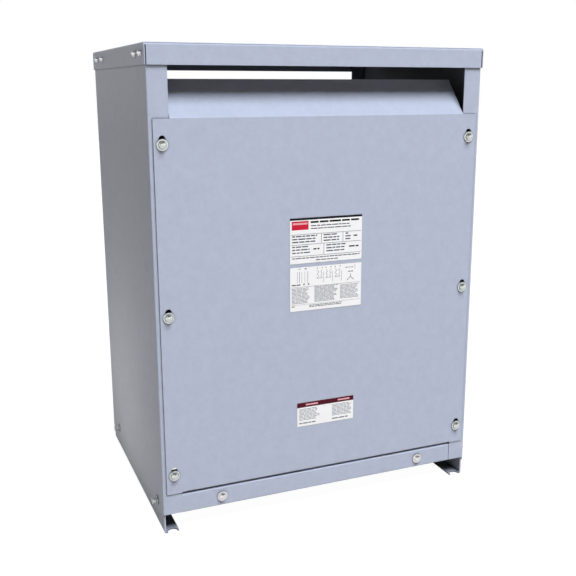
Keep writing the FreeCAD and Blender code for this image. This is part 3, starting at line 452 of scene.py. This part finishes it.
def enamel(looks, name, node_names, inside_shade_tone):
    """Baked enamel on sheet steel: faint orange peel and eased edges, with a painted highlight along the
    edges, painted shade beside joints and under overhangs, and painted shade inside the enclosure.
    """
    material, tree, shader = new_material(name)
    edges = place_group(tree, "eased_edge", Radius=looks.edge_radius)
    grain = grained(tree, shader, looks.paint, looks.roughness, looks.peel_height, edges.outputs["Normal"],
                    Drift=looks.mottle, Drift_Scale=1.0 / looks.mottle_size,
                    Relief_Scale=1.0 / looks.peel_size)
    # painted highlight: the enamel is lightened along eased edges
    pale = solid_color([min(1.0, channel * EDGE_HIGHLIGHT_LIFT) for channel in looks.paint])
    share = math_node(tree, "MULTIPLY", edges.outputs["Edge"], EDGE_HIGHLIGHT_SHARE)
    coat = mix_color(tree, "MIX", share, grain.outputs["Color"], pale)
    # painted shade: the enamel inside the box of these sheets is darkened to stand for the shade inside the
    # enclosure
    corners = [corner for node_name in node_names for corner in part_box(node_name)]
    inside = place_group(tree, "inside_mask", Half_Width=max(abs(corner.x) for corner in corners) - SKIN,
                         Half_Depth=max(abs(corner.y) for corner in corners) - SKIN,
                         Top=max(corner.z for corner in corners) - SKIN)
    lost = math_node(tree, "MULTIPLY", inside.outputs["Inside"], 1.0 - inside_shade_tone)
    tone = math_node(tree, "SUBTRACT", 1.0, lost)
    # painted shade beside joints and under overhangs, multiplied into the base colour
    crevice = place_group(tree, "crevice", Reach=looks.painted_shade_reach, Depth=looks.painted_shade_depth)
    kept = math_node(tree, "MULTIPLY", tone, crevice.outputs["Share"])
    tree.links.new(dimmed(tree, coat, kept), shader.inputs["Base Color"])
    shader.inputs["Specular IOR Level"].default_value = looks.sheen
    return material


def bare_metal(name, color, roughness):
    """Plain or plated metal with a fine, slightly uneven surface."""
    material, tree, shader = new_material(name)
    shader.inputs["Metallic"].default_value = 1.0
    edges = place_group(tree, "eased_edge")
    grained(tree, shader, color, roughness, relief_height=0.00002, normal=edges.outputs["Normal"],
            Drift=0.12, Drift_Scale=60.0, Roughness_Drift=0.18, Relief_Scale=900.0)
    return material


def zinc_plating(looks, name, color, painted_shade_depth):
    """Bright zinc with painted shade where a head meets its washer and the washer meets the sheet."""
    material = bare_metal(name, color, roughness=0.22)
    tree = material.node_tree
    base = tree.nodes["Principled BSDF"].inputs["Base Color"]
    # painted shade where parts meet, multiplied into the base colour
    crevice = place_group(tree, "crevice", Reach=looks.painted_shade_reach, Depth=painted_shade_depth)
    tree.links.new(dimmed(tree, base.links[0].from_socket, crevice.outputs["Share"]), base)
    return material


def flat_finish(name, color, roughness, relief_scale, relief_height, drift=0.1):
    """Dull or satin finish of paint, rubber, board or print."""
    material, tree, shader = new_material(name)
    grained(tree, shader, color, roughness, relief_height,
            Drift=drift, Drift_Scale=24.0, Relief_Scale=relief_scale)
    return material


def print_ink(name, color):
    """Matt ink with almost no sheen."""
    ink = flat_finish(name, color, roughness=0.6, relief_scale=900.0, relief_height=0.000005)
    ink.node_tree.nodes["Principled BSDF"].inputs["Specular IOR Level"].default_value = INK_SHEEN
    return ink


def layered_finish(name, color, roughness, along, layer, depth, coat=0.0, metallic=0.0):
    """Stacked sheets or wound turns: every layer has its own tone and a groove beside it."""
    material, tree, shader = new_material(name)
    shader.inputs["Metallic"].default_value = metallic
    shader.inputs["Coat Weight"].default_value = coat
    grain = place_group(tree, "surface_grain", Color=solid_color(color), Roughness=roughness,
                        Drift=0.15, Drift_Scale=18.0, Relief_Scale=300.0)
    layers = place_group(tree, "layer_lines", Along=along, Layers_per_Metre=1.0 / layer)
    dark = solid_color([channel * GROOVE_TONE for channel in color])
    share = math_node(tree, "MULTIPLY", layers.outputs["Tone"], LAYER_SHARE)
    tree.links.new(mix_color(tree, "MIX", share, grain.outputs["Color"], dark), shader.inputs["Base Color"])
    tree.links.new(grain.outputs["Roughness"], shader.inputs["Roughness"])
    relief(tree, shader, layers.outputs["Height"], depth)
    return material


def set_material(node_names, material):
    """Gives CAD nodes a finish through their material slots."""
    for name in node_names:
        NODES[name].material_slots[0].material = material


def merged_copy(node_name):
    """The node's solids as one clean mesh: doubles merged and flat faces joined."""
    mesh = bmesh.new()
    mesh.from_mesh(NODES[node_name].data)
    bmesh.ops.remove_doubles(mesh, verts=mesh.verts, dist=MERGE_DISTANCE)
    bmesh.ops.dissolve_limit(mesh, angle_limit=FLAT_ANGLE, verts=mesh.verts, edges=mesh.edges)
    return mesh


def is_plain_hexagon(face):
    """Whether a face has six sides of one length."""
    sides = [edge.calc_length() for edge in face.edges]
    return len(sides) == 6 and max(sides) < HEXAGON_SPREAD * min(sides)


def crown_heads(mesh, rise):
    """Rounds the top of every plain hexagon, which is the top of a screw head, within its height."""
    tops = [face for face in mesh.faces if is_plain_hexagon(face)]
    for face in tops:
        bmesh.ops.translate(mesh, verts=list(face.verts), vec=-rise * face.normal)
    for run, climb in CROWN_RINGS:
        bmesh.ops.inset_individual(mesh, faces=tops, thickness=run * rise, depth=climb * rise)


def break_edges(mesh, width):
    """Chamfers the sharp edges of a mesh."""
    sharp = [edge for edge in mesh.edges
             if len(edge.link_faces) == 2 and edge.calc_face_angle() > SHARP_ANGLE]
    bmesh.ops.bevel(mesh, geom=sharp, offset=width, offset_type="OFFSET", segments=1, profile=0.5,
                    affect="EDGES", clamp_overlap=True, material=-1)


def shade_by_angle(mesh):
    """Smooth shading that keeps the sharp edges sharp."""
    for face in mesh.faces:
        face.smooth = True
    for edge in mesh.edges:
        edge.smooth = len(edge.link_faces) == 2 and edge.calc_face_angle() < SMOOTH_ANGLE


def finished_piece(name, mesh, materials):
    """Object of a finished mesh, which rides on the body."""
    data = bpy.data.meshes.new(name)
    mesh.to_mesh(data)
    mesh.free()
    for material in materials:
        data.materials.append(material)
    piece = bpy.data.objects.new(name, data)
    bpy.context.scene.collection.objects.link(piece)
    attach(piece, "root")
    return piece


def print_block(mesh, middle, turn, size, ink):
    """Flat block of print about its middle."""
    shape = Matrix.Translation(middle) @ turn @ Matrix.Diagonal(size.to_4d())
    made = bmesh.ops.create_cube(mesh, size=1.0, matrix=shape)
    for face in {face for vert in made["verts"] for face in vert.link_faces}:
        face.material_index = ink


class PlatePrinter:
    """Prints marks on a plate; places are in millimetres from its upper left corner."""

    INK, FINE, PALE, FIELD, PINK = range(5)
    SHORTEST = 0.35          # shortest bar in a line of words, as a share of the longest
    WORD_GAP = 0.7           # between two bars, in heights of a bar
    RAG = 0.22               # how far the lines of a paragraph fall short, at most, as a share of its width

    def __init__(self, node_name, ink_height, seed):
        self.low, self.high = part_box(node_name)
        self.mesh = bmesh.new()
        self.ink_height = ink_height
        self.chance = random.Random(seed)
        self.width = (self.high.x - self.low.x) / MM
        self.height = (self.high.z - self.low.z) / MM

    def mark(self, left, top, right, bottom, ink, layers=1):
        """Rectangle between four sides, of one layer of ink or more."""
        face = self.low.y
        low = Vector((self.low.x + left * MM, face - layers * self.ink_height, self.high.z - bottom * MM))
        high = Vector((self.low.x + right * MM, face, self.high.z - top * MM))
        print_block(self.mesh, (low + high) / 2, Matrix.Identity(4), high - low, ink)

    def rule(self, top, bottom, edge, ink):
        """Line across the plate, inside its edge."""
        self.mark(edge / 2, top, self.width - edge / 2, bottom, ink)

    def words(self, left, top, right, height, ink, longest=9.0):
        """One line of short bars, in place of words."""
        at = left
        while at < right - height:
            end = min(right, at + self.chance.uniform(self.SHORTEST, 1.0) * longest)
            self.mark(at, top, end, top + height, ink)
            at = end + height * self.WORD_GAP

    def paragraph(self, left, top, right, lines, pitch, height, ink, longest=9.0):
        """Several lines of bars with a ragged right edge."""
        for line in range(lines):
            ragged = right - self.chance.uniform(0.0, self.RAG) * (right - left)
            self.words(left, top + line * pitch, ragged, height, ink, longest)

    def line(self, start, end, thickness, ink):
        """Straight stroke between two points of a diagram."""
        along = Vector((end[0] - start[0], 0.0, start[1] - end[1])) * MM
        middle = Vector((self.low.x + (start[0] + end[0]) / 2 * MM, self.low.y - self.ink_height / 2,
                         self.high.z - (start[1] + end[1]) / 2 * MM))
        turn = Matrix.Rotation(-math.atan2(along.z, along.x), 4, "Y")
        size = Vector((along.length, self.ink_height, thickness * MM))
        print_block(self.mesh, middle, turn, size, ink)

    def finish(self, name, materials):
        return finished_piece(name, self.mesh, materials)


def print_upper_plate(looks, materials):
    """Data plate: dark band, plain red field with a pale bar, a heading and a ruled table of short bars."""
    plate = PlatePrinter("upper_nameplate", looks.ink_height, seed=11)
    wide, edge = plate.width, 4.6
    plate.mark(0.0, 0.0, wide, 4.2, plate.INK)
    plate.mark(3.8, 6.2, 39.2, 23.4, plate.FIELD)
    plate.mark(6.0, 9.4, 37.0, 13.0, plate.PINK, layers=2)
    plate.words(43.7, 7.4, 150.0, height=3.6, ink=plate.INK, longest=26.0)
    for top in (15.4, 20.8):
        plate.words(44.5, top, 130.0, height=2.0, ink=plate.FINE, longest=15.0)
    rules = (32.0, 52.2, 75.0)
    level_stroke, upright_stroke, gap = 0.8, 0.9, 1.0
    for top in rules:
        plate.rule(top, top + level_stroke, edge, plate.FINE)
    for left, row in ((66.3, 0), (113.0, 0), (71.6, 1)):
        plate.mark(left, rules[row] + gap, left + upright_stroke, rules[row + 1] - gap, plate.FINE)
    for left, right in ((edge, 59.5), (71.3, 108.0), (119.0, 131.0)):
        plate.paragraph(left, rules[0] + 2.6, right, lines=3, pitch=5.6, height=2.5, ink=plate.FINE,
                        longest=17.0)
    for left, right in ((edge, 44.0), (77.4, 121.0)):
        plate.paragraph(left, rules[1] + 3.2, right, lines=3, pitch=5.9, height=2.4, ink=plate.FINE,
                        longest=15.0)
    plate.words(137.0, rules[0] + 8.0, 145.0, height=2.8, ink=plate.INK, longest=14.0)
    for left, right in ((49.5, 62.5), (127.0, 148.5)):
        plate.words(left, rules[1] + 9.0, right, height=2.8, ink=plate.INK, longest=14.0)
    plate.words(edge, rules[2] + 3.4, wide - edge, height=2.0, ink=plate.FINE, longest=13.0)
    plate.words(55.0, rules[2] + 8.8, 103.0, height=2.0, ink=plate.FINE, longest=13.0)
    return plate.finish("upper_nameplate_print", materials)


def draw_coil_pair(plate, left, top, pitch, turns):
    """Winding of a diagram: two zigzags side by side with a terminal mark over each and a lead below."""
    spacing, bow, stroke, half_terminal = 11.0, 3.2, 0.7, 0.9
    for start, side in ((left, 1.0), (left + spacing, -1.0)):
        plate.mark(start - half_terminal, top - 5.2, start + half_terminal, top - 3.0, plate.FINE)
        places = [start + bow * side * (turn % 2) for turn in range(turns + 1)]
        for turn in range(turns):
            upper = (places[turn], top + turn * pitch)
            lower = (places[turn + 1], top + (turn + 1) * pitch)
            plate.line(upper, lower, thickness=stroke, ink=plate.FINE)
    foot = top + turns * pitch
    plate.line((left - 1.0, foot), (left + spacing, foot), thickness=stroke, ink=plate.FINE)
    plate.line((left + 14.0, top + 4.0), (left + 14.0, foot + 9.0), thickness=0.6, ink=plate.FINE)


def print_lower_plate(looks, materials):
    """Connection plate: upright leads, three pairs of coils, a star, and columns of fine print below."""
    plate = PlatePrinter("lower_nameplate", looks.ink_height, seed=23)
    wide, edge = plate.width, 3.4
    leads = {15.0: plate.PALE, 19.4: plate.FINE, 24.5: plate.PALE, 31.0: plate.PALE, 37.2: plate.FINE}
    lead_width = 0.8
    for left, ink in leads.items():
        plate.mark(left, 8.6, left + lead_width, 31.5, ink)
    plate.words(17.0, 2.4, 24.0, height=1.6, ink=plate.PALE, longest=6.0)
    plate.words(31.0, 2.2, 35.0, height=2.4, ink=plate.FINE, longest=6.0)
    for left in (58.0, 77.0, 97.0):
        draw_coil_pair(plate, left, top=8.0, pitch=4.2, turns=4)
    plate.words(119.0, 7.0, 137.0, height=1.8, ink=plate.PALE, longest=8.0)
    plate.line((141.0, 2.0), (141.0, 13.0), thickness=0.9, ink=plate.PALE)
    plate.words(126.0, 15.6, 137.0, height=1.8, ink=plate.FINE, longest=8.0)
    hub = (131.0, 27.0)
    for tip in ((131.0, 21.5), (123.0, 34.5), (139.0, 34.0)):
        plate.line(hub, tip, thickness=1.2, ink=plate.FINE)
    plate.words(edge, 34.0, 22.0, height=2.2, ink=plate.INK, longest=20.0)
    for left in (28.0, 38.0):
        plate.mark(left, 33.0, left + 3.0, 36.4, plate.FINE)
    plate.rule(39.4, 40.2, edge, plate.PALE)
    plate.paragraph(edge, 41.8, 43.0, lines=12, pitch=2.7, height=1.5, ink=plate.PALE, longest=14.0)
    plate.paragraph(52.0, 40.9, 104.0, lines=13, pitch=2.5, height=1.5, ink=plate.PALE, longest=16.0)
    plate.paragraph(108.0, 42.4, wide - edge, lines=11, pitch=2.7, height=1.5, ink=plate.PALE, longest=14.0)
    plate.rule(75.4, 76.0, edge, plate.PALE)
    plate.words(edge, 77.6, 12.0, height=1.8, ink=plate.FINE, longest=10.0)
    for top in (77.6, 80.4):
        plate.words(41.0, top, 112.0, height=1.6, ink=plate.FINE, longest=7.0)
    return plate.finish("lower_nameplate_print", materials)


def print_small_label(looks, materials):
    """Small label: a dark band with two pale bars and two columns of fine print."""
    plate = PlatePrinter("small_label", looks.ink_height, seed=37)
    wide, edge = plate.width, 4.5
    band = 10.4
    plate.mark(0.0, 0.0, wide, band, plate.FIELD)
    for left, right in ((19.0, 46.0), (91.0, 118.0)):
        plate.mark(left, 3.6, right, band - 3.4, plate.PINK, layers=2)
    for left, right in ((edge, 50.0), (78.0, wide - edge)):
        plate.paragraph(left, band + 3.2, right, lines=9, pitch=2.9, height=1.5, ink=plate.PALE,
                        longest=12.0)
        plate.words(left, plate.height - 7.6, right - 8.0, height=2.2, ink=plate.FINE, longest=14.0)
    return plate.finish("small_label_print", materials)


class TRANSFORMER_OT_paint_enclosure(bpy.types.Operator):
    """Paints the folded sheets, rails and foot channels"""

    bl_idname = "transformer.paint_enclosure"
    bl_label = "Paint enclosure"

    def execute(self, context):
        looks = context.scene.enclosure_finish
        # painted shade inside: the covers and foot channels have their own strength of it
        own_shade_tones = {"cover": looks.cover_inside_shade_tone, "foot": looks.foot_inside_shade_tone}
        for kind, node_names in PAINTED_SHEETS.items():
            inside_shade_tone = own_shade_tones.get(kind, looks.inside_shade_tone)
            set_material(node_names, enamel(looks, f"{kind}_enamel", node_names, inside_shade_tone))
        return {"FINISHED"}


class TRANSFORMER_OT_fit_fasteners(bpy.types.Operator):
    """Makes the screws, bolts, nuts and rods with broken edges and crowned heads"""

    bl_idname = "transformer.fit_fasteners"
    bl_label = "Fit fasteners"

    def execute(self, context):
        looks = context.scene.fastener_finish
        zinc = zinc_plating(looks, "zinc_plating", looks.plating, looks.painted_shade_depth)
        # painted highlight: a white copy of the zinc, with less painted shade, for the roof and rail screws
        bright_zinc = zinc_plating(looks, "bright_zinc", looks.highlight_plating,
                                   looks.highlight_painted_shade_depth)
        for name in CROWNED_SCREWS + PLAIN_FASTENERS:
            mesh = merged_copy(name)
            if name in CROWNED_SCREWS:
                crown_heads(mesh, looks.crown_rise)
            break_edges(mesh, looks.edge_break)
            shade_by_angle(mesh)
            plating = bright_zinc if name in HIGHLIGHT_SCREWS else zinc
            piece = finished_piece(f"{name}_plated", mesh, [plating])
            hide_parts(name)
        set_material(("board_brackets",), zinc)
        return {"FINISHED"}


class TRANSFORMER_OT_print_plates(bpy.types.Operator):
    """Gives the plates their foil finish and their print"""

    bl_idname = "transformer.print_plates"
    bl_label = "Print plates"

    def execute(self, context):
        looks = context.scene.plate_finish
        foil = flat_finish("plate_foil", looks.foil, roughness=0.35, relief_scale=700.0,
                           relief_height=0.000005, drift=0.02)
        set_material(("upper_nameplate", "lower_nameplate", "small_label"), foil)
        inks = [print_ink(name, color) for name, color in (
            ("dark_ink", looks.ink), ("fine_ink", looks.fine_ink), ("pale_ink", looks.pale_ink),
            ("red_field_ink", looks.red_field), ("pink_ink", looks.pink))]
        print_upper_plate(looks, inks)
        print_lower_plate(looks, inks)
        print_small_label(looks, inks[:3] + [print_ink("maroon_band_ink", looks.band), inks[4]])
        return {"FINISHED"}


class TRANSFORMER_OT_finish_core(bpy.types.Operator):
    """Finishes the stacked core, its clamps and its rubber pads"""

    bl_idname = "transformer.finish_core"
    bl_label = "Finish core"

    def execute(self, context):
        looks = context.scene.core_finish
        stack = layered_finish("core_sheets", looks.steel, roughness=0.5, along=(0.0, 1.0, 0.0),
                               layer=looks.lamination, depth=0.0003, coat=0.2, metallic=0.4)
        primer = flat_finish("clamp_primer", looks.clamp_paint, roughness=0.5, relief_scale=500.0,
                             relief_height=0.00004)
        rubber = flat_finish("pad_rubber", looks.rubber, roughness=0.75, relief_scale=1200.0,
                             relief_height=0.00006)
        set_material(("core_legs", "core_top_yoke"), stack)
        set_material(CLAMPS, primer)
        set_material(("isolation_pads",), rubber)
        return {"FINISHED"}


class TRANSFORMER_OT_finish_coils(bpy.types.Operator):
    """Finishes the windings, boards, blocks and leads"""

    bl_idname = "transformer.finish_coils"
    bl_label = "Finish coils"

    def execute(self, context):
        looks = context.scene.coil_finish
        phases = range(1, 4)
        wire = layered_finish("varnished_turns", looks.varnish, roughness=0.35, along=(0.0, 0.0, 1.0),
                              layer=looks.turn, depth=0.0012, coat=0.5)
        wrap = flat_finish("foil_wrap", looks.foil_wrap, roughness=0.45, relief_scale=260.0,
                           relief_height=0.0001)
        board = flat_finish("glass_polyester", looks.board, roughness=0.5, relief_scale=350.0,
                            relief_height=0.00005, drift=0.18)
        sleeve = flat_finish("lead_sleeve", looks.sleeve, roughness=0.5, relief_scale=600.0,
                             relief_height=0.00006)
        set_material([f"primary_winding_{n}" for n in phases], wire)
        set_material([f"secondary_winding_{n}" for n in phases], wrap)
        set_material(BOARDS, board)
        set_material(("primary_leads",), sleeve)
        return {"FINISHED"}


class TRANSFORMER_OT_finish_terminals(bpy.types.Operator):
    """Finishes the bus bars, tap studs and ground bar"""

    bl_idname = "transformer.finish_terminals"
    bl_label = "Finish terminals"

    def execute(self, context):
        looks = context.scene.terminal_finish
        copper = bare_metal("ground_copper", looks.copper, roughness=0.35)
        set_material(ALUMINIUM_BARS, bare_metal("bus_aluminium", looks.aluminium, roughness=0.38))
        set_material(("tap_studs", "tap_links"), bare_metal("stud_brass", looks.brass, roughness=0.3))
        set_material(("ground_bar", "core_ground_strap"), copper)
        return {"FINISHED"}


def studio_floor(looks):
    """Pale floor that stays almost white in the picture."""
    mesh = bmesh.new()
    bmesh.ops.create_grid(mesh, x_segments=1, y_segments=1, size=looks.floor_size / 2)
    data = bpy.data.meshes.new("studio_floor")
    mesh.to_mesh(data)
    mesh.free()
    floor = bpy.data.objects.new("studio_floor", data)
    bpy.context.scene.collection.objects.link(floor)
    material, tree, shader = new_material("studio_floor")
    shader.inputs["Base Color"].default_value = solid_color(looks.floor)
    shader.inputs["Roughness"].default_value = 0.9
    glow = add_node(tree, "ShaderNodeEmission", Color=WHITE, Strength=FLOOR_WHITE)
    seen = tree.nodes.new("ShaderNodeLightPath").outputs["Is Camera Ray"]
    share = math_node(tree, "MULTIPLY", seen, looks.floor_glow)
    blend = mix_shaders(tree, share, shader.outputs[0], glow.outputs[0])
    tree.links.new(blend, tree.nodes["Material Output"].inputs["Surface"])
    data.materials.append(material)


def studio_world(looks):
    """White surroundings in the picture, a gradient in reflections and a faint light from all round."""
    world = bpy.data.worlds.new("studio")
    bpy.context.scene.world = world
    world.use_nodes = True
    tree = world.node_tree
    light = tree.nodes["Background"]
    light.inputs["Color"].default_value = solid_color(looks.ambient_color)
    light.inputs["Strength"].default_value = looks.ambient
    ray = tree.nodes.new("ShaderNodeLightPath").outputs
    heading = tree.nodes.new("ShaderNodeSeparateXYZ")
    tree.links.new(tree.nodes.new("ShaderNodeTexCoord").outputs["Generated"], heading.inputs[0])
    gradient = add_node(tree, "ShaderNodeMapRange", Value=heading.outputs["Z"], From_Min=HORIZON_TOP,
                        From_Max=CEILING_START, To_Min=looks.surround, To_Max=looks.overhead)
    shown = light.outputs[0]
    for kind, strength in (("Is Glossy Ray", gradient.outputs[0]), ("Is Camera Ray", 1.0)):
        white = add_node(tree, "ShaderNodeBackground", Color=WHITE, Strength=strength)
        shown = mix_shaders(tree, ray[kind], shown, white.outputs[0])
    tree.links.new(shown, tree.nodes["World Output"].inputs["Surface"])


def soft_light(name, power, color, size, azimuth, elevation, distance):
    """One square light that faces the middle of the transformer and stays out of the picture itself."""
    data = bpy.data.lights.new(name, "AREA")
    data.shape = "SQUARE"
    data.size = size
    data.energy = power
    data.color = color
    light = bpy.data.objects.new(name, data)
    bpy.context.scene.collection.objects.link(light)
    middle = (cad_box[0] + cad_box[1]) / 2
    level = distance * math.cos(elevation)
    height = distance * math.sin(elevation)
    place = middle + Vector((level * math.sin(azimuth), -level * math.cos(azimuth), height))
    turn = (middle - place).to_track_quat("-Z", "Y").to_matrix().to_4x4()
    light.matrix_world = Matrix.Translation(place) @ turn
    light.visible_camera = False
    light.visible_glossy = False


def studio_camera(looks):
    """Camera at the viewing angle of the picture."""
    data = bpy.data.cameras.new("camera")
    data.lens = looks.lens
    data.sensor_width = 36.0
    data.clip_end = 100.0
    data.shift_x, data.shift_y = looks.crop
    camera = bpy.data.objects.new("camera", data)
    bpy.context.scene.collection.objects.link(camera)
    heading = Matrix.Rotation(-looks.yaw, 4, "Z")
    tilt = Matrix.Rotation(math.pi / 2 - looks.pitch, 4, "X")
    camera.matrix_world = Matrix.Translation(looks.eye) @ heading @ tilt
    bpy.context.scene.camera = camera


class TRANSFORMER_OT_set_stage(bpy.types.Operator):
    """Sets up the pale floor, the soft light and the camera"""

    bl_idname = "transformer.set_stage"
    bl_label = "Set stage"

    def execute(self, context):
        looks = context.scene.stage_looks
        context.scene.view_settings.view_transform = "Standard"
        studio_floor(looks)
        studio_world(looks)
        labels = ("power", "color", "size", "azimuth", "elevation", "distance")
        for kind in ("key", "fill", "back"):
            soft_light(f"{kind}_light", *(getattr(looks, f"{kind}_{label}") for label in labels))
        studio_camera(looks)
        return {"FINISHED"}


class TRANSFORMER_PT_finish(bpy.types.Panel):
    """Lists the steps of the finish"""

    bl_label = "Transformer"
    bl_idname = "TRANSFORMER_PT_finish"
    bl_space_type = "VIEW_3D"
    bl_region_type = "UI"
    bl_category = "Transformer"

    def draw(self, context):
        for operator in OPERATORS:
            self.layout.operator(operator.bl_idname)
        for name in SETTINGS:
            group = getattr(context.scene, name)
            column = self.layout.column()
            for label in group.bl_rna.properties.keys():
                if label not in ("rna_type", "name"):
                    column.prop(group, label)


SETTINGS = {
    "enclosure_finish": EnclosureFinish,
    "fastener_finish": FastenerFinish,
    "plate_finish": PlateFinish,
    "core_finish": CoreFinish,
    "coil_finish": CoilFinish,
    "terminal_finish": TerminalFinish,
    "stage_looks": StageLooks,
}
OPERATORS = (
    TRANSFORMER_OT_paint_enclosure,
    TRANSFORMER_OT_fit_fasteners,
    TRANSFORMER_OT_print_plates,
    TRANSFORMER_OT_finish_core,
    TRANSFORMER_OT_finish_coils,
    TRANSFORMER_OT_finish_terminals,
    TRANSFORMER_OT_set_stage,
)


def register():
    for name, group in SETTINGS.items():
        bpy.utils.register_class(group)
        setattr(bpy.types.Scene, name, PointerProperty(type=group))
    for item in OPERATORS + (TRANSFORMER_PT_finish,):
        bpy.utils.register_class(item)


def unregister():
    for item in reversed(OPERATORS + (TRANSFORMER_PT_finish,)):
        bpy.utils.unregister_class(item)
    for name, group in reversed(SETTINGS.items()):
        delattr(bpy.types.Scene, name)
        bpy.utils.unregister_class(group)


def main():
    """Runs every step in order."""
    register()
    bpy.ops.transformer.paint_enclosure()
    bpy.ops.transformer.fit_fasteners()
    bpy.ops.transformer.print_plates()
    bpy.ops.transformer.finish_core()
    bpy.ops.transformer.finish_coils()
    bpy.ops.transformer.finish_terminals()
    bpy.ops.transformer.set_stage()


if __name__ == "__main__":
    main()
